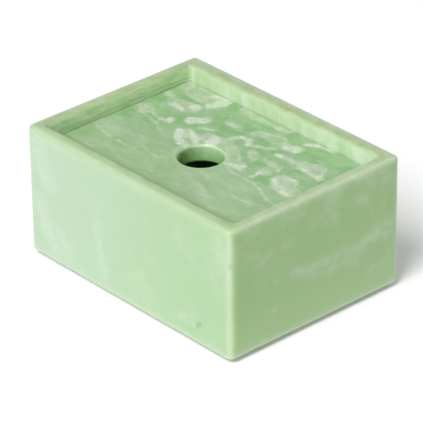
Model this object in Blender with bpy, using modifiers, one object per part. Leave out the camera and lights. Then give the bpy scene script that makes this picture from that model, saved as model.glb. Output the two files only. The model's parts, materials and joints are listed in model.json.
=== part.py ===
"""A cast resin storage box: a thick-walled body whose rim stands above a drop-in lid with a finger hole.

The body stands on four small pads stuck to its underside, which keep the resin off the table.

Run with: blender --background --python part.py
Metres, +Z up. The origin is on the table under the middle, +X along the length, +Y along the width.
"""

import math

import bmesh
import bpy

# Outside of the box.
LENGTH = 0.150
WIDTH = 0.1123
HEIGHT = 0.0706  # of the casting alone
CORNER_RADIUS = 0.0028  # the four upright corners
EDGE_RADIUS = 0.0015  # every other edge of the body

# Walls, and the step in them that the lid lies on.
WALL_END = 0.0068  # the two short walls
WALL_SIDE = 0.0084  # the two long walls, before the offset below
OPENING_OFFSET = -0.0007  # the opening lies this far off the middle, towards the front
FLOOR = 0.0080
LEDGE = 0.0040  # how far the step reaches in under the lid
RECESS_CORNER = 0.0015
CAVITY_CORNER = 0.0040

# Lid.
LID_THICKNESS = 0.0100
LID_DEPTH = 0.0087  # rim top down to lid top
LID_PLAY = 0.0004  # round the lid's edge
LID_EDGE_RADIUS = 0.0010
SEAT_GAP = 0.0003  # under the lid
HOLE_DIAMETER = 0.0234
HOLE_CENTRE = (-0.0034, -0.0039)  # drilled by hand, a little off the middle

# Pads.
PAD_HEIGHT = 0.0025  # table up to the casting
PAD_DIAMETER = 0.0110
PAD_INSET = 0.0150  # centre of a pad, in from the two faces beside it
PAD_GAP = 0.0003  # between a pad and the casting
PAD_EDGE_RADIUS = 0.0004

# Smoothness of the round work.
CORNER_SEGMENTS = 6
EDGE_SEGMENTS = 3
HOLE_SEGMENTS = 64
SHARP_ANGLE = math.radians(35)
EDGE_ANGLE = math.radians(60)  # only an edge sharper than this is rounded
OVERRUN = 0.010  # how far a cutter passes the face that it opens

RIM_TOP = PAD_HEIGHT + HEIGHT
LID_TOP = RIM_TOP - LID_DEPTH
LID_BOTTOM = LID_TOP - LID_THICKNESS
LEDGE_TOP = LID_BOTTOM - SEAT_GAP
RECESS_LENGTH = LENGTH - 2 * WALL_END
RECESS_WIDTH = WIDTH - 2 * WALL_SIDE


def clear_scene():
    for obj in list(bpy.data.objects):
        bpy.data.objects.remove(obj, do_unlink=True)


def new_collection(name):
    collection = bpy.data.collections.new(name)
    bpy.context.scene.collection.children.link(collection)
    return collection


def plastic(name, colour, roughness):
    """A resin or a rubber: its colour, its polish, and no metal in it."""
    material = bpy.data.materials.new(name)
    material.use_nodes = True
    shader = material.node_tree.nodes["Principled BSDF"]
    shader.inputs["Base Color"].default_value = (*colour, 1.0)
    shader.inputs["Roughness"].default_value = roughness
    shader.inputs["Metallic"].default_value = 0.0
    material.diffuse_color = (*colour, 1.0)
    return material


def mesh_object(name, bm, collection):
    mesh = bpy.data.meshes.new(name)
    bm.to_mesh(mesh)
    bm.free()
    obj = bpy.data.objects.new(name, mesh)
    collection.objects.link(obj)
    return obj


def round_cornered_block(name, size, offset, bottom, corner_radius, collection):
    """A block standing on the height `bottom`, `offset` along +Y, with its four upright edges rounded."""
    bm = bmesh.new()
    bmesh.ops.create_cube(bm, size=1.0)
    bmesh.ops.scale(bm, vec=size, verts=bm.verts)
    bmesh.ops.translate(bm, vec=(0, offset, bottom + size[2] / 2), verts=bm.verts)
    upright = [edge for edge in bm.edges if abs(edge.verts[0].co.z - edge.verts[1].co.z) > size[2] / 2]
    bmesh.ops.bevel(
        bm,
        geom=upright,
        offset=corner_radius,
        segments=CORNER_SEGMENTS,
        profile=0.5,
        affect="EDGES",
    )
    return mesh_object(name, bm, collection)


def cylinder(name, diameter, centre, bottom, top, collection):
    bm = bmesh.new()
    bmesh.ops.create_cone(
        bm,
        cap_ends=True,
        segments=HOLE_SEGMENTS,
        radius1=diameter / 2,
        radius2=diameter / 2,
        depth=top - bottom,
    )
    bmesh.ops.translate(bm, vec=(centre[0], centre[1], (bottom + top) / 2), verts=bm.verts)
    return mesh_object(name, bm, collection)


def cut(obj, cutter):
    cutter.hide_render = True
    cutter.display_type = "WIRE"
    boolean = obj.modifiers.new("cut by " + cutter.name, "BOOLEAN")
    boolean.operation = "DIFFERENCE"
    boolean.solver = "EXACT"
    boolean.object = cutter


def round_edges(obj, radius):
    """Rounds the square edges that are left after the cuts, and leaves the facets of round work alone."""
    bevel = obj.modifiers.new("soft edges", "BEVEL")
    bevel.width = radius
    bevel.segments = EDGE_SEGMENTS
    bevel.limit_method = "ANGLE"
    bevel.angle_limit = EDGE_ANGLE
    bevel.use_clamp_overlap = True


def shade_round(obj):
    obj.data.shade_smooth()
    obj.data.set_sharp_from_angle(angle=SHARP_ANGLE)


def make_body(parts, cutters):
    """The casting: outside block, less the opening that takes the lid, less the storage space below it."""
    body = round_cornered_block("box_body", (LENGTH, WIDTH, HEIGHT), 0.0, PAD_HEIGHT, CORNER_RADIUS, parts)
    recess = round_cornered_block(
        "lid_recess_cutter",
        (RECESS_LENGTH, RECESS_WIDTH, RIM_TOP + OVERRUN - LEDGE_TOP),
        OPENING_OFFSET,
        LEDGE_TOP,
        RECESS_CORNER,
        cutters,
    )
    cavity = round_cornered_block(
        "cavity_cutter",
        (RECESS_LENGTH - 2 * LEDGE, RECESS_WIDTH - 2 * LEDGE, HEIGHT - FLOOR),
        OPENING_OFFSET,
        PAD_HEIGHT + FLOOR,
        CAVITY_CORNER,
        cutters,
    )
    cut(body, recess)
    cut(body, cavity)
    round_edges(body, EDGE_RADIUS)
    shade_round(body)
    body.data.materials.append(plastic("marbled_resin_body", (0.50, 0.72, 0.43), 0.32))
    return body


def make_lid(parts, cutters):
    """The drop-in plate, with its origin on the line that it lifts along."""
    lid = round_cornered_block(
        "lid",
        (RECESS_LENGTH - 2 * LID_PLAY, RECESS_WIDTH - 2 * LID_PLAY, LID_THICKNESS),
        OPENING_OFFSET,
        -LID_THICKNESS,
        RECESS_CORNER,
        parts,
    )
    hole = cylinder(
        "finger_hole_cutter",
        HOLE_DIAMETER,
        HOLE_CENTRE,
        -LID_THICKNESS - OVERRUN,
        OVERRUN,
        cutters,
    )
    cut(lid, hole)
    round_edges(lid, LID_EDGE_RADIUS)
    shade_round(lid)
    lid.data.materials.append(plastic("marbled_resin_lid", (0.40, 0.61, 0.33), 0.25))
    lid.location.z = LID_TOP
    hole.location.z = LID_TOP
    return lid


def make_pads(parts):
    """Four round rubber pads with their edges eased."""
    x = LENGTH / 2 - PAD_INSET
    y = WIDTH / 2 - PAD_INSET
    places = {
        "pad_front_left": (-x, -y),
        "pad_front_right": (x, -y),
        "pad_back_left": (-x, y),
        "pad_back_right": (x, y),
    }
    for name, centre in places.items():
        pad = cylinder(name, PAD_DIAMETER, centre, 0.0, PAD_HEIGHT - PAD_GAP, parts)
        round_edges(pad, PAD_EDGE_RADIUS)
        shade_round(pad)
        pad.data.materials.append(plastic("rubber_" + name, (0.03, 0.03, 0.03), 0.8))


def main():
    clear_scene()
    parts = new_collection("resin_box")
    cutters = new_collection("cutters")
    make_body(parts, cutters)
    make_lid(parts, cutters)
    make_pads(parts)


main()
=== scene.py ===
"""Looks for the marbled resin box: a cast body on four pads and its drop-in lid, on a pale studio floor.

Metres, +Z up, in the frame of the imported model. Texture patterns work in millimetres.
"""

import json
import math

import bmesh
import bpy
from mathutils import Matrix, Vector, noise


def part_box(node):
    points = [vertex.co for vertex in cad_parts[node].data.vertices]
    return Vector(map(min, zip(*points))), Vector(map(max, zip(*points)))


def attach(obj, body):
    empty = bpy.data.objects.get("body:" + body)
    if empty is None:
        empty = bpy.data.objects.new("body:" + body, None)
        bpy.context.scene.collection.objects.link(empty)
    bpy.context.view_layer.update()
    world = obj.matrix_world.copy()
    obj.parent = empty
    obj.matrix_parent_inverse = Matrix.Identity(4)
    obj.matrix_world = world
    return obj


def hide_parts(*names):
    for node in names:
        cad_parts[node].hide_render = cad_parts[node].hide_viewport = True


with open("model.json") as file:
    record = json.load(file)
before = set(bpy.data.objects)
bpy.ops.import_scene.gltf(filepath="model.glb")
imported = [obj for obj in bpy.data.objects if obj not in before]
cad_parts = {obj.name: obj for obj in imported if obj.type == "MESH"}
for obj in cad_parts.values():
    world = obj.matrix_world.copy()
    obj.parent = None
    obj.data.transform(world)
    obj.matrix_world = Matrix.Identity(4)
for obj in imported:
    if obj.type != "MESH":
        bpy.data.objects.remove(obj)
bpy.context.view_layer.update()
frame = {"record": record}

BODY_LOW, BODY_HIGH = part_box("box_body")
LID_LOW, LID_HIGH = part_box("lid")
LENGTH = BODY_HIGH.x - BODY_LOW.x
WIDTH = BODY_HIGH.y - BODY_LOW.y
MM = 0.001

# Inside of the casting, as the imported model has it.
LID_PLAY = 0.4 * MM
SEAT_GAP = 0.3 * MM
WALL_END = LID_LOW.x - BODY_LOW.x - LID_PLAY
WALL_SIDE = (WIDTH - (LID_HIGH.y - LID_LOW.y)) / 2 - LID_PLAY
OPENING_OFFSET = (LID_HIGH.y + LID_LOW.y) / 2
LEDGE = 4.0 * MM
FLOOR = BODY_LOW.z + 8.0 * MM
LEDGE_TOP = LID_LOW.z - SEAT_GAP
CAVITY_CORNER = 4.0 * MM
RECESS_CORNER = 1.5 * MM
LID_CORNER = 1.5 * MM

# Softness of the hand-finished edges.
BODY_CORNER = 3.1 * MM
BODY_EDGE = 2.3 * MM
FOOT_EDGE = 1.3 * MM
RIM_EDGE = 1.9 * MM
LID_EDGE = 0.7 * MM
HOLE_EDGE = 1.6 * MM
PAD_EDGE = 0.5 * MM
OPENING_TURN = 0.009  # radians that the opening and its lid stand askew in the casting
LEAST_CORNER = 0.4 * MM  # of the casting's outline, where an edge runs round a corner
LID_LEAST_CORNER = 0.5 * MM
LEDGE_FILLET = 1.0 * MM  # in the corner above the ledge
LEDGE_LIP = 0.8 * MM  # round the ledge's free edge
FLOOR_FILLET = 2.5 * MM  # where the walls meet the floor inside
UNDERSIDE_REACH = 40 * MM  # how far in the rows of faces run on the underside
FLOOR_REACH = 30 * MM  # and on the floor inside
WAVER = 0.05 * MM  # how far sanding by hand left the faces out of true
WAVER_BIAS = 0.6  # leans it inwards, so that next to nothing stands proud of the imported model
UNDERSIDE_TOP = BODY_LOW.z + 1.0 * MM  # the underside's flat lies below this


def opening(name):
    """The middle of one of the record's openings."""
    boxes = {o["name"]: o["box_m"] for o in frame["record"]["physics"]["openings"]}
    low, high = (Vector(corner) for corner in boxes[name])
    return (low + high) / 2


HOLE_CENTRE = opening("finger_hole")
HOLE_RADIUS = 11.7 * MM


# ---------------------------------------------------------------- geometry


def arc(steps):
    """Angles from 0 to a quarter turn."""
    return [math.pi / 2 * i / steps for i in range(steps + 1)]


def spread(start, end, steps):
    """Values from start to end, without either end."""
    return [start + (end - start) * i / steps for i in range(1, steps)]


CORNER_STEPS = 10
LONG_STEPS = 44
SHORT_STEPS = 34
PAD_STEPS = 48
FACE_ROWS = (0.1, 0.25, 0.45, 0.65, 0.85)  # on the lid's faces, between the hole and the edge


def rounded_rectangle(half_x, half_y, radius):
    """Points round a rectangle with rounded corners, always the same number in the same order."""
    corners = []
    for quarter, (sx, sy) in enumerate(((1, 1), (-1, 1), (-1, -1), (1, -1))):
        centre = Vector((sx * (half_x - radius), sy * (half_y - radius)))
        turns = [angle + quarter * math.pi / 2 for angle in arc(CORNER_STEPS)]
        corners.append([centre + radius * Vector((math.cos(t), math.sin(t))) for t in turns])
    points = []
    side_steps = (LONG_STEPS, SHORT_STEPS) * 2
    for corner, following, steps in zip(corners, corners[1:] + corners[:1], side_steps):
        points += corner
        points += [corner[-1].lerp(following[0], share) for share in spread(0, 1, steps)]
    return points


def skin(bm, loops, closed=False):
    """Quads between each loop of vertices and the next."""
    pairs = list(zip(loops, loops[1:]))
    if closed:
        pairs.append((loops[-1], loops[0]))
    for a, b in pairs:
        for i in range(len(a)):
            j = (i + 1) % len(a)
            bm.faces.new((a[i], a[j], b[j], b[i]))


def finished(name, bm, material):
    """A smooth-shaded object from the mesh built so far."""
    bmesh.ops.recalc_face_normals(bm, faces=bm.faces)
    mesh = bpy.data.meshes.new(name)
    bm.to_mesh(mesh)
    bm.free()
    mesh.shade_smooth()
    obj = bpy.data.objects.new(name, mesh)
    bpy.context.scene.collection.objects.link(obj)
    mesh.materials.append(material)
    return obj


def body_stations():
    """The casting's section, in order from the middle of the underside to the middle of the floor inside.

    It runs out, up, over the rim and down. Each station is (inset at the ends, inset at the sides, height,
    corner radius).
    """
    base, top = BODY_LOW.z, BODY_HIGH.z
    stations = []

    def add(end, side, z, radius):
        stations.append((end, side, z, radius))

    def even(inset, z, radius):
        add(inset, inset, z, radius)

    for share in (0.9, 0.6, 0.3, 0.1):
        even(FOOT_EDGE + share * UNDERSIDE_REACH, base, BODY_CORNER)
    for a in arc(8):
        inset = FOOT_EDGE * (1 - math.sin(a))
        even(inset, base + FOOT_EDGE * (1 - math.cos(a)), max(BODY_CORNER - inset, LEAST_CORNER))
    for z in spread(base + FOOT_EDGE, top - BODY_EDGE, 26):
        even(0.0, z, BODY_CORNER)
    for a in arc(8):
        inset = BODY_EDGE * (1 - math.cos(a))
        even(inset, top - BODY_EDGE * (1 - math.sin(a)), max(BODY_CORNER - inset, LEAST_CORNER))
    outer_radius = max(BODY_CORNER - BODY_EDGE, LEAST_CORNER)
    inner_radius = RECESS_CORNER + RIM_EDGE
    for share in spread(0, 1, 6):
        add(
            BODY_EDGE + (WALL_END - RIM_EDGE - BODY_EDGE) * share,
            BODY_EDGE + (WALL_SIDE - RIM_EDGE - BODY_EDGE) * share,
            top,
            outer_radius + (inner_radius - outer_radius) * share,
        )
    for a in arc(8):
        back = RIM_EDGE * (1 - math.sin(a))
        add(WALL_END - back, WALL_SIDE - back, top - RIM_EDGE * (1 - math.cos(a)), RECESS_CORNER + back)

    def inside(out, z, radius):
        add(WALL_END + out, WALL_SIDE + out, z, radius)

    for z in spread(top - RIM_EDGE, LEDGE_TOP + LEDGE_FILLET, 10):
        inside(0.0, z, RECESS_CORNER)
    for a in arc(4):
        out = LEDGE_FILLET * (1 - math.cos(a))
        inside(out, LEDGE_TOP + LEDGE_FILLET * (1 - math.sin(a)), RECESS_CORNER)
    for share in spread(0, 1, 3):
        out = LEDGE_FILLET + (LEDGE - LEDGE_FILLET - LEDGE_LIP) * share
        inside(out, LEDGE_TOP, RECESS_CORNER + (CAVITY_CORNER + LEDGE_LIP - RECESS_CORNER) * share)
    for a in arc(4):
        back = LEDGE_LIP * (1 - math.sin(a))
        inside(LEDGE - back, LEDGE_TOP - LEDGE_LIP * (1 - math.cos(a)), CAVITY_CORNER + back)
    for z in spread(LEDGE_TOP - LEDGE_LIP, FLOOR + FLOOR_FILLET, 14):
        inside(LEDGE, z, CAVITY_CORNER)
    for a in arc(6):
        out = FLOOR_FILLET * (1 - math.cos(a))
        inside(LEDGE + out, FLOOR + FLOOR_FILLET * (1 - math.sin(a)), CAVITY_CORNER - out)
    for share in (0.15, 0.4, 0.7, 0.95):
        inside(LEDGE + FLOOR_FILLET + share * FLOOR_REACH, FLOOR, CAVITY_CORNER)
    return stations


def make_body(material):
    """The casting. The opening inside the rim is a little askew and off the middle, the outside isn't."""
    half_x, half_y = BODY_HIGH.x, BODY_HIGH.y
    bm = bmesh.new()
    loops = []
    for end, side, z, radius in body_stations():
        outline = rounded_rectangle(half_x - end, half_y - side, radius)
        share = min(1.0, max(0.0, (side - BODY_EDGE) / (WALL_SIDE - RIM_EDGE - BODY_EDGE)))
        if z < UNDERSIDE_TOP:
            share = 0.0
        shifted = [turned(p.x, p.y + OPENING_OFFSET * share, share) for p in outline]
        loops.append([bm.verts.new((x, y, z)) for x, y in shifted])
    skin(bm, loops)
    bm.faces.new(loops[0])
    bm.faces.new(loops[-1])
    soften(bm)
    return finished("resin_body", bm, material)


def turned(x, y, share=1.0):
    """A point turned about the middle by a share of the angle that the opening and the lid stand askew."""
    turn = OPENING_TURN * share
    return x * math.cos(turn) - y * math.sin(turn), x * math.sin(turn) + y * math.cos(turn)


def soften(bm):
    """The unevenness that sanding by hand leaves on every face but the underside."""
    bm.normal_update()
    moves = []
    for v in bm.verts:
        swell = noise.noise(v.co / (34 * MM)) + 0.5 * noise.noise(v.co / (13 * MM))
        moves.append((v, v.normal * (swell - WAVER_BIAS) * WAVER))
    for v, move in moves:
        if v.co.z > UNDERSIDE_TOP:
            v.co += move


def make_lid(material):
    """The plate, as one skin that runs up the finger hole, out over the top, down the edge and back below."""
    half_x, half_y = LID_HIGH.x, LID_HIGH.y - OPENING_OFFSET
    top, bottom = LID_HIGH.z, LID_LOW.z
    bm = bmesh.new()
    outline = rounded_rectangle(half_x, half_y, LID_CORNER)
    centre = Vector((HOLE_CENTRE.x, HOLE_CENTRE.y - OPENING_OFFSET))
    turns = [math.atan2(p.y - centre.y, p.x - centre.x) for p in outline]

    def row(points, z):
        return [bm.verts.new((p.x, p.y, z)) for p in points]

    def circle(radius):
        return [centre + radius * Vector((math.cos(t), math.sin(t))) for t in turns]

    def rectangle(inset):
        corner = max(LID_CORNER - inset, LID_LEAST_CORNER)
        return rounded_rectangle(half_x - inset, half_y - inset, corner)

    def ring(back, z):
        return row(circle(HOLE_RADIUS + back), z)

    def border(inset, z):
        return row(rectangle(inset), z)

    def between(z, share):
        inner, outer = circle(HOLE_RADIUS + HOLE_EDGE), rectangle(LID_EDGE)
        return row([a.lerp(b, share) for a, b in zip(inner, outer)], z)

    loops = []
    for z in spread(bottom + HOLE_EDGE, top - HOLE_EDGE, 6):
        loops.append(ring(0.0, z))
    for a in arc(7):
        loops.append(ring(HOLE_EDGE * (1 - math.cos(a)), top - HOLE_EDGE * (1 - math.sin(a))))
    for share in FACE_ROWS:
        loops.append(between(top, share))
    for a in arc(5):
        loops.append(border(LID_EDGE * (1 - math.sin(a)), top - LID_EDGE * (1 - math.cos(a))))
    for z in spread(top - LID_EDGE, bottom + LID_EDGE, 5):
        loops.append(border(0.0, z))
    for a in arc(5):
        loops.append(border(LID_EDGE * (1 - math.cos(a)), bottom + LID_EDGE * (1 - math.sin(a))))
    for share in reversed(FACE_ROWS):
        loops.append(between(bottom, share))
    for a in arc(7):
        loops.append(ring(HOLE_EDGE * (1 - math.sin(a)), bottom + HOLE_EDGE * (1 - math.cos(a))))
    skin(bm, loops, closed=True)
    for v in bm.verts:
        v.co.x, v.co.y = turned(v.co.x, v.co.y + OPENING_OFFSET)
    return finished("resin_lid", bm, material)


def make_pad(node, material):
    """A round pad with eased edges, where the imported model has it."""
    low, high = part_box(node)
    radius = (high.x - low.x) / 2
    centre = (low + high) / 2
    bm = bmesh.new()
    section = []
    for a in arc(4):
        section.append((radius - PAD_EDGE * (1 - math.sin(a)), low.z + PAD_EDGE * (1 - math.cos(a))))
    for a in arc(4):
        section.append((radius - PAD_EDGE * (1 - math.cos(a)), high.z - PAD_EDGE * (1 - math.sin(a))))
    turns = [math.tau * i / PAD_STEPS for i in range(PAD_STEPS)]
    rings = []
    for size, z in section:
        points = [(centre.x + size * math.cos(t), centre.y + size * math.sin(t), z) for t in turns]
        rings.append([bm.verts.new(point) for point in points])
    skin(bm, rings)
    bm.faces.new(rings[0])
    bm.faces.new(rings[-1])
    return finished("rubber_" + node, bm, material)


# ---------------------------------------------------------------- materials


class Graph:
    """A material's node tree, with one short call for each node."""

    def __init__(self, name):
        self.material = bpy.data.materials.new(name)
        self.material.use_nodes = True
        self.tree = self.material.node_tree
        self.shader = self.tree.nodes["Principled BSDF"]

    def add(self, kind, inputs=(), output=0, **settings):
        """A new node's output socket. inputs are values or sockets, by position or as (name, value)."""
        made = self.tree.nodes.new(kind)
        for key, value in settings.items():
            setattr(made, key, value)
        pairs = inputs.items() if isinstance(inputs, dict) else enumerate(inputs)
        for key, value in pairs:
            self.plug(made.inputs[key], value)
        return made.outputs[output]

    def plug(self, socket, value):
        if isinstance(value, bpy.types.NodeSocket):
            self.tree.links.new(value, socket)
        elif value is not None:
            socket.default_value = value

    def maths(self, operation, a, b=None, c=None, clamp=False):
        return self.add("ShaderNodeMath", (a, b, c), operation=operation, use_clamp=clamp)

    def vector(self, operation, a, b=None, c=None):
        output = "Value" if operation in ("DOT_PRODUCT", "LENGTH", "DISTANCE") else "Vector"
        return self.add("ShaderNodeVectorMath", (a, b, c), output, operation=operation)

    def scale(self, vector, factor):
        return self.add("ShaderNodeVectorMath", {"Vector": vector, "Scale": factor}, operation="SCALE")

    def noise(self, where, size, detail=2.0, roughness=0.5, output="Fac", scaled=None):
        """Noise whose features are about `size` millimetres across.

        It runs from 0 to 1, or, with `scaled`, from minus to plus half of that.
        """
        inputs = {
            "Vector": where,
            "Scale": 1 / size,
            "Detail": detail,
            "Roughness": roughness,
        }
        made = self.add("ShaderNodeTexNoise", inputs, output)
        if scaled is None:
            return made
        return self.maths("MULTIPLY", self.maths("SUBTRACT", made, 0.5), scaled)

    def ramp(self, value, start, end, low=0.0, high=1.0, smooth=True):
        inputs = {"Value": value, 1: start, 2: end, 3: low, 4: high}
        kind = "SMOOTHSTEP" if smooth else "LINEAR"
        return self.add("ShaderNodeMapRange", inputs, interpolation_type=kind)

    def split(self, vector):
        made = self.tree.nodes.new("ShaderNodeSeparateXYZ")
        self.plug(made.inputs[0], vector)
        return made.outputs[0], made.outputs[1], made.outputs[2]

    def joined(self, x, y, z):
        return self.add("ShaderNodeCombineXYZ", (x, y, z))

    def blend(self, factor, a, b):
        """A number from a to b as the factor goes from 0 to 1."""
        return self.ramp(factor, 0.0, 1.0, a, b, smooth=False)

    def band(self, value, middle, width):
        """1 where the value is at `middle`, falling to 0 at `width` to either side."""
        off = self.maths("ABSOLUTE", self.maths("SUBTRACT", value, middle))
        return self.ramp(off, width, 0.0)

    def bump(self, height, distance):
        """Relief `distance` millimetres deep for each unit of height."""
        inputs = {"Strength": 1.0, "Distance": distance * MM, "Height": height}
        self.plug(self.shader.inputs["Normal"], self.add("ShaderNodeBump", inputs, "Normal"))

    def translucent(self, weight, depth):
        """Light carried inside the resin, green a little further, over about `depth` millimetres."""
        self.shader.inputs["Subsurface Weight"].default_value = weight
        self.shader.inputs["Subsurface Radius"].default_value = (0.9, 1.0, 0.7)
        self.shader.inputs["Subsurface Scale"].default_value = depth * MM

    def mix(self, factor, a, b):
        inputs = {"Factor": factor, 6: a, 7: b}
        return self.add("ShaderNodeMix", inputs, 2, data_type="RGBA")

    def millimetres(self):
        """Where a point is on the object at rest, in millimetres."""
        coordinates = self.add("ShaderNodeTexCoord", output="Object")
        return self.scale(coordinates, 1 / MM)

    def warp(self, where, size, amount, detail=1.0):
        """The same place pushed about by noise, up to about half of `amount` millimetres."""
        push = self.noise(where, size, detail, output="Color")
        push = self.vector("SUBTRACT", push, (0.5, 0.5, 0.5))
        return self.vector("ADD", where, self.scale(push, amount))

    def distance_to(self, where, strokes, melt=0.8):
        """Millimetres from the nearest stroke's skin; below zero inside. A stroke is (start, end, radius).

        Strokes nearer to each other than `melt` run together.
        """
        nearest = None
        for start, end, radius in strokes:
            start, end = Vector(start).to_3d(), Vector(end).to_3d()
            along = end - start
            away = self.vector("SUBTRACT", where, start)
            share = self.vector("DOT_PRODUCT", away, along / along.length_squared)
            share = self.maths("ADD", share, 0.0, clamp=True)
            foot = self.vector("MULTIPLY_ADD", along, share, start)
            reach = self.maths("SUBTRACT", self.vector("DISTANCE", where, foot), radius)
            nearest = reach if nearest is None else self.maths("SMOOTH_MIN", nearest, reach, melt)
        return nearest


def rgb(red, green, blue):
    return (red, green, blue, 1.0)


# The lid's marbling, as strokes (start, end, radius) in millimetres on the lid, seen from above.
# Clouds are broad and half-clear, whites are milky all through, veins are thin.
CLOUDS = (
    ((-66, 43), (-40, 43), 5.2),
    ((-58, 37), (-42, 37.5), 2.6),
    ((-66, 29), (-62, 28), 2.2),
    ((-55, 25), (-44, 27), 4.6),
    ((-61.5, 9.5), (-60, 8.5), 4.3),
    ((-53, 9), (-46, 7.5), 1.2),
    ((-24, 44), (-13, 43.5), 2.6),
    ((-13, 43.5), (6, 46), 3.2),
    ((-2, 31.5), (9, 35), 2.4),
    ((9, 36), (12, 35), 3.8),
    ((-21, 30), (-11, 29.5), 1.6),
    ((18, 32.5), (25, 36), 3.2),
    ((7, 22), (16, 26.5), 1.3),
    ((24, 24.5), (52, 24), 2.2),
    ((39, 26.5), (46, 28), 3.8),
    ((12, 16.5), (16, 13.5), 3.0),
    ((22, 15), (32, 15.5), 1.6),
    ((31, 12), (31, 8.5), 3.9),
    ((41, 8.5), (47, 8), 4.2),
    ((44, 3.5), (55, 3), 4.4),
    ((10, 3), (17, 2.5), 3.6),
    ((-15, 11), (-4, 13), 4.2),
    ((2, 12), (10, 5), 3.0),
    ((-29, 5), (-25, 2), 3.0),
    ((-27, 9), (-16, 4), 2.0),
    ((-64, -14), (-52, -19), 4.0),
    ((18, -25), (25, -29), 3.0),
    ((-56, -37.5), (-40, -38), 1.4),
)
WHITES = (
    ((-39.5, 36), (-37.5, 41), 3.0),
    ((-46, 44), (-37, 46), 2.0),
    ((-45, 28.5), (-43, 30), 2.4),
    ((-55, 23), (-48, 22.5), 1.6),
    ((-30, 22.5), (-35.5, 16.5), 2.7),
    ((-42.8, 10.2), (-42, 9.2), 2.4),
    ((-30, 6), (-26, 1.5), 2.3),
    ((-26, 1.5), (-20, -1.5), 1.8),
    ((-20, -1.5), (-16, -3.5), 1.5),
    ((-26, 9.2), (-20, 6.8), 0.8),
    ((-20, 6.8), (-15.5, 3.5), 1.3),
    ((-25, 15), (-19.5, 18.2), 1.0),
    ((-12, 12), (-8, 6), 2.6),
    ((-6.5, 19), (-4, 23), 1.3),
    ((-4, 23), (0.5, 24.5), 1.6),
    ((0.5, 24.5), (4, 21), 1.7),
    ((22.5, 36.5), (25, 34), 2.0),
    ((18.5, 32.5), (20, 34), 1.2),
    ((24.5, 42), (28, 44.5), 1.4),
    ((28, 44.5), (34.5, 46.3), 1.1),
    ((34.5, 46.3), (38.5, 46.5), 1.6),
    ((21.5, 23.3), (24, 23.8), 1.5),
    ((38, 22.6), (51, 22), 0.8),
    ((52, 23.4), (54, 22.6), 1.9),
    ((29.5, 5.5), (29.5, 0), 1.2),
    ((39, 4.5), (46, 2), 1.3),
    ((46, 2), (55, -1), 1.5),
    ((42, 11.5), (47, 11.5), 1.0),
    ((13.5, 0), (18, 1.2), 1.2),
    ((18, 1.2), (18.5, 4), 1.0),
)
VEINS = (
    ((10, -1), (20, -4.4), 0.5),
    ((20, -4.4), (34, -4.6), 0.7),
    ((34, -4.6), (41, -6), 0.6),
    ((41, -6), (52, -11.3), 0.7),
    ((52, -11.3), (58, -11.6), 0.6),
    ((8, -15.5), (17, -17), 0.4),
    ((37, -20), (44, -20), 0.6),
    ((44, -20), (47.5, -18.8), 0.7),
    ((-64, -20), (-49, -24), 0.6),
    ((-44, -23.5), (-37, -24), 0.6),
    ((-60, 6), (-45, 3), 0.5),
    ((-45, 3), (-33, -3), 0.4),
    ((18, -24), (24, -27), 0.6),
    ((27, -30), (33, -29), 0.4),
    ((-55, -37), (-47, -36.6), 0.7),
    ((-28, -19), (-16, -21), 0.5),
)


def flattened(g, place, top, depth):
    """A point with its height measured from `top` and squeezed: the pattern runs on down into the resin."""
    down = g.vector("SUBTRACT", place, (0.0, 0.0, top))
    return g.vector("MULTIPLY", down, (1.0, 1.0, depth))


def resin_lid():
    """Green resin with milky swirls: crowded pale figures on the far half, thin streaks on the near half,
    with painted shade along the front wall and painted light and shade in the finger hole.
    """
    g = Graph("marbled_resin_lid")
    place = g.millimetres()
    flat = flattened(g, place, LID_HIGH.z / MM, 0.6)
    far = g.ramp(g.split(g.warp(flat, 14, 10, 1.0))[1], -8, 1)
    colour = lid_ground(g, flat, far)
    colour = lid_figures(g, flat, far, colour)
    colour = lid_veins(g, flat, colour)
    # Painted shade: the lid is darkened in a soft band beyond the front wall, where the rim shades it.
    off_front = g.maths("SUBTRACT", g.split(place)[1], LID_LOW.y / MM)
    off_front = g.maths("ADD", off_front, g.noise(flat, 7, 2.0, scaled=5))
    painted_rim_shade = g.maths("MULTIPLY", g.ramp(off_front, 15.0, 9.0), 0.45)
    colour = g.mix(painted_rim_shade, colour, rgb(0.200, 0.350, 0.140))
    colour = hole_wall(g, place, flat, colour)

    g.plug(g.shader.inputs["Base Color"], colour)
    rubbed = g.noise(place, 17, 4.0, 0.6)
    g.plug(g.shader.inputs["Roughness"], g.ramp(rubbed, 0.3, 0.7, 0.26, 0.4))
    fine = g.noise(g.vector("MULTIPLY", place, (0.25, 1.0, 1.0)), 0.5, 3.0, 0.6)
    relief = g.maths("ADD", g.maths("MULTIPLY", fine, 0.25), g.noise(place, 6.0, 2.0))
    g.bump(relief, 0.03)
    g.translucent(0.35, 1.6)
    return g.material


def lid_ground(g, flat, far):
    """The green that the figures lie in, clouded along the lid's length."""
    drift = g.ramp(g.noise(flat, 26, 2.0), 0.35, 0.65)
    near_green = g.mix(drift, rgb(0.266, 0.414, 0.208), rgb(0.312, 0.456, 0.254))
    drift = g.ramp(g.noise(flat, 15, 2.0), 0.38, 0.62)
    far_green = g.mix(drift, rgb(0.215, 0.400, 0.165), rgb(0.275, 0.440, 0.225))
    colour = g.mix(far, near_green, far_green)

    streaked = g.vector("MULTIPLY", g.warp(flat, 11, 7, 2.0), (0.42, 1.0, 1.0))
    cloud = g.ramp(g.noise(streaked, 5.5, 7.0, 0.62), 0.44, 0.74)
    cloud = g.maths("MULTIPLY", cloud, g.blend(far, 0.60, 0.55))
    colour = g.mix(cloud, colour, rgb(0.42, 0.54, 0.37))
    grain = g.noise(streaked, 1.3, 5.0, 0.7)
    return g.scale(colour, g.ramp(grain, 0.25, 0.75, 1.00, 1.14, smooth=False))


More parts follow.
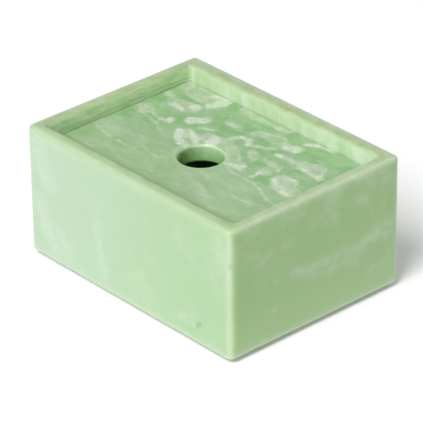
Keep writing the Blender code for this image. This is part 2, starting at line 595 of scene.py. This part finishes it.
def lid_figures(g, flat, far, colour):
    """Half-clear cream clouds and milky whites, each with a paler skin in places."""
    bent = g.warp(g.warp(flat, 9, 4.0, 1.0), 3.0, 1.7, 2.0)
    pale = g.distance_to(bent, CLOUDS, 2.5)
    long_way = g.vector("MULTIPLY", bent, (0.6, 1.0, 1.0))
    thick = g.ramp(g.noise(long_way, 4.5, 4.0, 0.6), 0.34, 0.64, 0.25, 0.95)
    thick = g.maths("MULTIPLY", thick, g.blend(far, 0.45, 1.0))
    hue = g.ramp(g.noise(flat, 13, 1.0), 0.42, 0.58)
    cream = g.mix(hue, rgb(0.470, 0.600, 0.405), rgb(0.520, 0.580, 0.440))
    colour = g.mix(g.maths("MULTIPLY", g.ramp(pale, 1.6, -1.8), thick), colour, cream)
    here_and_there = g.ramp(g.noise(flat, 5.5, 1.0), 0.43, 0.58, 0.0, 0.62)
    outline = g.maths("MULTIPLY", g.band(pale, -0.2, 0.9), here_and_there)
    outline = g.maths("MULTIPLY", outline, far)
    colour = g.mix(outline, colour, rgb(0.56, 0.66, 0.50))

    white = g.distance_to(bent, WHITES, 1.5)
    hue = g.ramp(g.noise(flat, 8, 1.0), 0.4, 0.6)
    milk = g.mix(hue, rgb(0.64, 0.69, 0.60), rgb(0.57, 0.70, 0.50))
    core = g.ramp(g.noise(bent, 2.4, 3.0, 0.6), 0.35, 0.65, 0.5, 1.0)
    colour = g.mix(g.maths("MULTIPLY", g.ramp(white, 1.5, -1.2), core), colour, milk)
    here_and_there = g.ramp(g.noise(flat, 4.5, 1.0), 0.48, 0.62, 0.0, 0.75)
    outline = g.maths("MULTIPLY", g.band(white, -0.6, 1.0), here_and_there)
    return g.mix(outline, colour, rgb(0.66, 0.75, 0.62))


def lid_veins(g, flat, colour):
    """Thin pale veins, and finer threads that wander along the lid."""
    vein = g.ramp(g.distance_to(g.warp(flat, 5, 2.6, 2.0), VEINS), 0.7, -0.4)
    vein = g.maths("MULTIPLY", vein, g.ramp(g.noise(flat, 3.5, 2.0), 0.35, 0.6, 0.25, 0.85))
    colour = g.mix(vein, colour, rgb(0.50, 0.61, 0.45))
    long_way = g.vector("MULTIPLY", g.warp(flat, 9, 6, 2.0), (0.5, 1.0, 1.0))
    thread = g.band(g.noise(long_way, 9, 3.0, 0.55), 0.5, 0.020)
    thread = g.maths("MULTIPLY", thread, g.ramp(g.noise(flat, 12, 1.0), 0.45, 0.65, 0.0, 0.5))
    return g.mix(thread, colour, rgb(0.45, 0.58, 0.41))


def hole_wall(g, place, flat, colour):
    """The finger hole's wall, with painted light and shade: pale at its top, darker down the hole and darker
    still to the front and left, and a pale ring round it, a painted highlight on the hole's rounded edge.
    """
    centre = (HOLE_CENTRE.x / MM, HOLE_CENTRE.y / MM, 0.0)
    from_axis = g.vector("MULTIPLY", g.vector("SUBTRACT", place, centre), (1.0, 1.0, 0.0))
    off_axis = g.vector("LENGTH", from_axis)
    reach = HOLE_RADIUS / MM
    in_hole = g.ramp(off_axis, reach + 0.9, reach + 0.1)
    uneven = g.noise(place, 6, 4.0, 0.6, scaled=8)
    depth = g.maths("MULTIPLY", g.split(flat)[2], -1.0)
    # Painted shade: paler at the top of the hole, darker further down it.
    painted_hole_shade = g.ramp(g.maths("ADD", depth, uneven), 0.0, 5.0)
    hole_green = g.mix(painted_hole_shade, rgb(0.58, 0.76, 0.50), rgb(0.30, 0.58, 0.20))
    # Painted shade on the side of the hole that faces away from the light.
    front_left = g.vector("DOT_PRODUCT", from_axis, (-0.66 / reach, -0.75 / reach, 0.0))
    painted_shade_front_left = g.maths("MULTIPLY", g.ramp(front_left, 0.0, 0.9), g.ramp(painted_hole_shade, 0.0, 0.6, 0.35, 0.85))
    hole_green = g.mix(painted_shade_front_left, hole_green, rgb(0.150, 0.360, 0.080))
    colour = g.mix(g.maths("MULTIPLY", in_hole, 0.85), colour, hole_green)
    # Painted highlight on the hole's rounded edge.
    painted_hole_edge_highlight = g.band(off_axis, reach + 1.6, 1.5)
    return g.mix(g.maths("MULTIPLY", painted_hole_edge_highlight, 0.35), colour, rgb(0.47, 0.62, 0.38))


# Whitish streaks and small pits in the body, again (start, end, radius), with heights from its underside.
# A streak is soft, so it reaches past its radius, and a radius below zero gives a fainter one.
STREAKS = (
    ((75, -14, 31), (75, 2, 29), 2.4),
    ((75, 0, 29), (75, 25, 27), 3.4),
    ((75, 20, 29), (75, 50, 34), 3.6),
    ((75, -35, 47), (75, -31, 49), 0.8),
    ((75, -20, 51), (75, -17, 51), 0.8),
    ((75, 28, 57), (75, 33, 55), 1.5),
    ((-66, -57, 60), (-60, -57, 44), 5.0),
    ((-66, -57, 30), (-58, -57, 8), 4.0),
    ((-50, -57, 16), (-44, -57, 9), 2.0),
    ((-23, -57, 34), (-19, -57, 10), 1.5),
    ((22, -57, 30), (31, -57, 10), -1.5),
    ((34, -57, 9), (46, -57, 13), 1.0),
)
PITS = (
    ((51.5, -56.2, 10.0), (53.5, -56.2, 11.5), 0.7),
    ((74.6, -55.4, 51.0), (74.6, -55.4, 52.0), 0.4),
)


# Half the body's length and width, and its height, in millimetres.
HALF_X = BODY_HIGH.x / MM
HALF_Y = BODY_HIGH.y / MM
TOP = (BODY_HIGH.z - BODY_LOW.z) / MM


def resin_body():
    """Paler resin, clouded rather than figured, with painted light: a painted glow where its edges are thin,
    whitish painted highlights along its edges, painted sheen on the front and painted shade on the right end.
    """
    g = Graph("marbled_resin_body")
    place = g.vector("SUBTRACT", g.millimetres(), (0.0, 0.0, BODY_LOW.z / MM))
    x, y, z = g.split(place)
    front = g.ramp(g.maths("MULTIPLY", y, -1.0), HALF_Y - 6, HALF_Y - 1)
    right = g.ramp(x, HALF_X - 6, HALF_X - 1)
    edge, glow = edges(g, x, y, z)
    colour = body_ground(g, place, front, right)
    colour = body_rim(g, place, front, colour)
    colour = body_edges(g, place, right, edge, glow, colour)
    colour = inner_walls(g, x, y, z, colour)
    pit = g.ramp(g.distance_to(g.warp(place, 1.2, 0.8, 1.0), PITS), 1.3, -0.6)
    colour = g.mix(g.maths("MULTIPLY", pit, 0.45), colour, rgb(0.20, 0.27, 0.13))

    g.plug(g.shader.inputs["Base Color"], colour)
    rubbed = g.noise(place, 21, 5.0, 0.6)
    rough = g.ramp(rubbed, 0.3, 0.7, 0.30, 0.44)
    g.plug(g.shader.inputs["Roughness"], g.maths("SUBTRACT", rough, g.maths("MULTIPLY", edge, 0.06)))
    fine = g.noise(g.vector("MULTIPLY", place, (0.3, 0.3, 1.0)), 0.6, 3.0, 0.6)
    relief = g.maths("ADD", g.maths("MULTIPLY", fine, 0.2), g.noise(place, 9.0, 2.0))
    relief = g.maths("SUBTRACT", relief, g.maths("MULTIPLY", pit, 3.0))
    g.bump(relief, 0.03)
    g.translucent(0.8, 4.0)
    return g.material


def body_ground(g, place, front, right):
    """The clouded green of the casting: milkier at the front, above all towards its left end, partly real
    clouding and partly painted sheen; the right end is a darker, greener copy, which is painted shade.
    """
    x, y, z = g.split(place)
    drift = g.warp(place, 45, 34, 2.0)
    tone = g.ramp(g.noise(drift, 38, 3.0), 0.35, 0.65)
    colour = g.mix(tone, rgb(0.335, 0.505, 0.245), rgb(0.378, 0.540, 0.295))

    # The front is paler, whitest towards the left end: partly the resin's real milky clouding, partly painted
    # sheen where the light falls on it.
    left_end = g.ramp(g.maths("ADD", x, g.noise(place, 22, 4.0, 0.6, scaled=30)), 55, -60)
    milky = g.mix(left_end, rgb(0.372, 0.541, 0.322), rgb(0.436, 0.575, 0.415))
    colour = g.mix(front, colour, milky)
    # Painted shade: the right end gets a darker, greener copy of the colour.
    colour = g.mix(g.maths("MULTIPLY", right, 0.8), colour, rgb(0.308, 0.482, 0.212))

    cloud = g.noise(g.warp(place, 24, 22, 3.0), 20, 6.0, 0.6)
    colour = g.mix(g.ramp(cloud, 0.5, 0.78, 0.0, 0.5), colour, rgb(0.50, 0.62, 0.44))
    streak = g.distance_to(g.warp(g.warp(place, 16, 9, 2.0), 4, 3, 1.0), STREAKS, 2.0)
    long_way = g.vector("MULTIPLY", place, (1.0, 0.4, 1.0))
    broken = g.ramp(g.noise(long_way, 5, 5.0, 0.65), 0.3, 0.7, 0.2, 0.8)
    # The streaks are paler on the front as well, partly painted sheen.
    milk = g.mix(front, rgb(0.48, 0.59, 0.42), rgb(0.54, 0.64, 0.52))
    colour = g.mix(g.maths("MULTIPLY", g.ramp(streak, 5.0, -3.5), broken), colour, milk)

    grain = g.noise(g.warp(place, 6, 4, 1.0), 2.2, 5.0, 0.65)
    return g.scale(colour, g.ramp(grain, 0.25, 0.75, 0.975, 1.025, smooth=False))


def body_rim(g, place, front, colour):
    """The top of the rim, duller and warmer than the walls, and greener at the front."""
    on_top = g.ramp(g.split(place)[2], TOP - 1.6, TOP - 0.4)
    along = g.noise(g.vector("MULTIPLY", place, (1.0, 1.0, 0.4)), 9, 4.0, 0.65)
    rim = g.mix(g.ramp(along, 0.36, 0.62), rgb(0.352, 0.462, 0.245), rgb(0.452, 0.540, 0.345))
    colour = g.mix(g.maths("MULTIPLY", on_top, 0.8), colour, rim)
    front_rim = g.maths("MULTIPLY", on_top, g.maths("MULTIPLY", front, 0.8))
    return g.mix(front_rim, colour, rgb(0.388, 0.590, 0.300))


def body_edges(g, place, right, edge, glow, colour):
    """Painted light on the edges: a paler painted glow where light comes through the thinner resin, whitish
    painted highlights on the edges themselves, painted floor bounce low on the right end, a painted highlight
    along its foot, and painted shade inside the front rim.
    """
    x, y, z = g.split(place)
    # Painted glow, strongest by the front right upright edge and greener on its right-hand side.
    near_edge = g.maths("MULTIPLY", g.ramp(x, HALF_X - 9, HALF_X - 2), g.ramp(y, 9 - HALF_Y, 2 - HALF_Y))
    glow = g.maths("MULTIPLY", glow, g.blend(near_edge, 0.42, 0.80))
    # Painted light: the right end is paler towards its foot, for light thrown up from the floor.
    painted_floor_bounce = g.maths("MULTIPLY", g.maths("MULTIPLY", right, g.ramp(z, 30, 1)), 0.42)
    colour = g.mix(painted_floor_bounce, colour, rgb(0.440, 0.600, 0.340))
    round_corner = g.maths("MULTIPLY", near_edge, g.ramp(y, 0.4 - HALF_Y, 2.5 - HALF_Y))
    greener = g.maths("MULTIPLY", right, round_corner)
    hue = g.mix(greener, rgb(0.520, 0.610, 0.465), rgb(0.440, 0.650, 0.285))
    colour = g.mix(glow, colour, hue)
    # Painted highlight: a thin pale line along the foot of the right end.
    foot = g.maths("MULTIPLY", right, g.band(z, 0.8, 1.3))
    colour = g.mix(g.maths("MULTIPLY", foot, 0.55), colour, rgb(0.60, 0.66, 0.54))
    # Painted highlight: whitish patches on the outside edges.
    patchy = g.ramp(g.noise(place, 7, 4.0, 0.65), 0.3, 0.65, 0.05, 0.6)
    colour = g.mix(g.maths("MULTIPLY", edge, patchy), colour, rgb(0.56, 0.63, 0.50))
    front_lip = g.ramp(y, 3.5 - HALF_Y, 0.8 - HALF_Y)
    front_lip = g.maths("MULTIPLY", front_lip, g.ramp(z, TOP - 3.5, TOP - 0.8))
    colour = g.mix(g.maths("MULTIPLY", front_lip, 0.6), colour, rgb(0.370, 0.520, 0.300))

    inner_front = HALF_Y - (WALL_SIDE + OPENING_OFFSET) / MM
    inner_end = HALF_X - WALL_END / MM
    # Painted shade: a dark line along the inner top edge of the front rim, where its rounding turns away from
    # the light.
    painted_inner_rim_shade = g.band(g.maths("ADD", y, inner_front + 0.9), 0.0, 1.0)
    painted_inner_rim_shade = g.maths("MULTIPLY", painted_inner_rim_shade, g.ramp(z, TOP - 3.0, TOP - 0.6))
    short_of_end = g.ramp(g.maths("ABSOLUTE", x), inner_end - 0.5, inner_end - 4.0)
    painted_inner_rim_shade = g.maths("MULTIPLY", painted_inner_rim_shade, short_of_end)
    return g.mix(g.maths("MULTIPLY", painted_inner_rim_shade, 0.75), colour, rgb(0.210, 0.370, 0.130))


def edges(g, x, y, z):
    """Two masks round the casting's outside edges: the edge itself, which gets painted highlights and a
    smoother finish, and a wider band behind it, which gets a painted glow where the resin is thinner.
    """
    ends = g.maths("SUBTRACT", HALF_X, g.maths("ABSOLUTE", x))
    sides = g.maths("SUBTRACT", HALF_Y, g.maths("ABSOLUTE", y))
    up = g.maths("SUBTRACT", TOP, z)
    nearest = g.maths("MAXIMUM", ends, sides)
    for one, other in ((ends, up), (sides, up), (ends, z), (sides, z)):
        nearest = g.maths("MINIMUM", nearest, g.maths("MAXIMUM", one, other))
    wander = g.maths("ADD", nearest, g.noise(g.joined(x, y, z), 8, 3.0, scaled=3.0))
    return g.ramp(nearest, 2.4, 0.4), g.ramp(wander, 6.0, 0.5)


def inner_walls(g, x, y, z, colour):
    """The walls inside the rim, painted paler for light that comes through the thin resin: bands run along
    the ends, drips run down the sides.
    """
    off_end = g.maths("SUBTRACT", HALF_X - WALL_END / MM, g.maths("ABSOLUTE", x))
    off_side = g.maths("SUBTRACT", HALF_Y - WALL_SIDE / MM, g.maths("ABSOLUTE", y))
    inside_end = g.ramp(off_end, -1.4, -0.3)
    inside_side = g.ramp(off_side, -1.8, -0.7)
    depth = g.maths("SUBTRACT", TOP, z)
    inside = g.maths("MULTIPLY", inside_end, inside_side)
    inside = g.maths("MULTIPLY", inside, g.ramp(depth, 0.1, 2.3))
    here = g.joined(x, y, z)

    banded = g.noise(g.vector("MULTIPLY", g.warp(here, 9, 3, 2.0), (1.0, 0.12, 1.0)), 1.6, 3.0, 0.6)
    end_colour = g.mix(g.ramp(banded, 0.32, 0.66), rgb(0.47, 0.66, 0.36), rgb(0.68, 0.82, 0.56))
    # Painted shade: a darker band on the end walls a little above the lid.
    low = g.band(depth, 6.8, 1.5)
    end_colour = g.mix(g.maths("MULTIPLY", low, 0.5), end_colour, rgb(0.38, 0.58, 0.28))

    dripped = g.noise(g.vector("MULTIPLY", g.warp(here, 9, 3, 2.0), (1.0, 1.0, 0.22)), 8.0, 4.0, 0.62)
    side_colour = g.mix(g.ramp(dripped, 0.30, 0.68), rgb(0.50, 0.68, 0.40), rgb(0.66, 0.77, 0.60))
    # A pale patch towards the right end of the side walls, and a painted highlight in the strip by their left
    # inner corners.
    ragged = g.maths("ADD", x, g.noise(here, 4, 3.0, scaled=9))
    milky = g.maths("MAXIMUM", g.band(ragged, 54, 10), g.band(ragged, -66.5, 3))
    side_colour = g.mix(g.maths("MULTIPLY", milky, 0.75), side_colour, rgb(0.76, 0.83, 0.72))

    nearer_end = g.ramp(g.maths("SUBTRACT", off_side, off_end), -0.4, 0.4)
    nearer_side = g.maths("SUBTRACT", 1.0, nearer_end)
    colour = g.mix(g.maths("MULTIPLY", inside, nearer_end), colour, end_colour)
    return g.mix(g.maths("MULTIPLY", inside, nearer_side), colour, side_colour)


def rubber(name):
    """Plain dark rubber, dusty in places."""
    g = Graph(name)
    place = g.millimetres()
    dust = g.ramp(g.noise(place, 2.5, 5.0, 0.65), 0.4, 0.75)
    g.plug(g.shader.inputs["Base Color"], g.mix(dust, rgb(0.026, 0.027, 0.026), rgb(0.060, 0.062, 0.056)))
    g.plug(g.shader.inputs["Roughness"], g.ramp(dust, 0.0, 1.0, 0.72, 0.9))
    g.bump(g.noise(place, 0.4, 3.0), 0.03)
    return g.material


# ---------------------------------------------------------------- stage

CAMERA_AZIMUTH = math.radians(48.408)
CAMERA_ELEVATION = math.radians(29.173)
CAMERA_ROLL = math.radians(-0.722)
CAMERA_DISTANCE = 11.047 * LENGTH
CAMERA_OFFSET = Vector((-0.0025, -0.0295, 0)) * LENGTH  # the aim passes beside the box's middle by this
FIELD_OF_VIEW = math.radians(7.250976)
MIDDLE = Vector((0, 0, (BODY_LOW.z + BODY_HIGH.z) / 2))

FLOOR_SIZE = 12.0
FLOOR_ALBEDO = 0.9
FLOOR_LIFT = 0.08  # the floor's own light, which stands for what the rest of a white studio adds
SKY = 0.425


def direction(azimuth, elevation):
    """From the object towards something at this bearing; azimuth 0 is in front, and it grows to the right."""
    return Vector(
        (
            math.sin(azimuth) * math.cos(elevation),
            -math.cos(azimuth) * math.cos(elevation),
            math.sin(elevation),
        )
    )


def make_camera():
    """A long lens with a slight roll, looking down on the box's front right edge."""
    back = direction(CAMERA_AZIMUTH, CAMERA_ELEVATION)
    right = Vector((math.cos(CAMERA_AZIMUTH), math.sin(CAMERA_AZIMUTH), 0))
    up = back.cross(right)
    data = bpy.data.cameras.new("camera")
    data.angle = FIELD_OF_VIEW
    camera = bpy.data.objects.new("camera", data)
    bpy.context.scene.collection.objects.link(camera)
    turn = Matrix((right, up, back)).transposed() @ Matrix.Rotation(CAMERA_ROLL, 3, "Z")
    place = MIDDLE + CAMERA_DISTANCE * back + turn @ CAMERA_OFFSET
    camera.matrix_world = Matrix.Translation(place) @ turn.to_4x4()
    bpy.context.scene.camera = camera


def area_light(name, azimuth, elevation, distance, size, watts):
    """A rectangular softbox at this bearing in degrees, facing the object."""
    data = bpy.data.lights.new(name, "AREA")
    data.shape = "RECTANGLE"
    data.size, data.size_y = size
    data.energy = watts
    lamp = bpy.data.objects.new(name, data)
    bpy.context.scene.collection.objects.link(lamp)
    towards = direction(math.radians(azimuth), math.radians(elevation))
    lamp.location = towards * distance + MIDDLE
    lamp.rotation_euler = towards.to_track_quat("Z", "Y").to_euler()


def make_stage():
    """A pale floor, a white surround and one big softbox in front."""
    bpy.ops.mesh.primitive_plane_add(size=FLOOR_SIZE)
    floor = bpy.context.object
    floor.name = "floor"
    g = Graph("floor_paper")
    g.shader.inputs["Base Color"].default_value = rgb(FLOOR_ALBEDO, FLOOR_ALBEDO, FLOOR_ALBEDO)
    g.shader.inputs["Roughness"].default_value = 0.9
    g.shader.inputs["Emission Color"].default_value = rgb(1, 1, 1)
    g.shader.inputs["Emission Strength"].default_value = FLOOR_LIFT
    floor.data.materials.append(g.material)
    world = bpy.data.worlds.new("studio")
    bpy.context.scene.world = world
    world.use_nodes = True
    background = world.node_tree.nodes["Background"]
    background.inputs["Color"].default_value = rgb(1, 1, 1)
    background.inputs["Strength"].default_value = SKY
    area_light("key", azimuth=15, elevation=50, distance=5.0, size=(2.2, 3.0), watts=240)
    bpy.context.scene.view_settings.view_transform = "Standard"


make_camera()
body = make_body(resin_body())
lid = make_lid(resin_lid())
for piece, node, owner in ((body, "box_body", "box"), (lid, "lid", "lid")):
    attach(piece, owner)
    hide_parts(node)
for corner in ("front_left", "front_right", "back_left", "back_right"):
    slot = "rubber_pad_" + corner
    pad = make_pad("pad_" + corner, rubber(slot))
    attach(pad, "box")
    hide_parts("pad_" + corner)
make_stage()
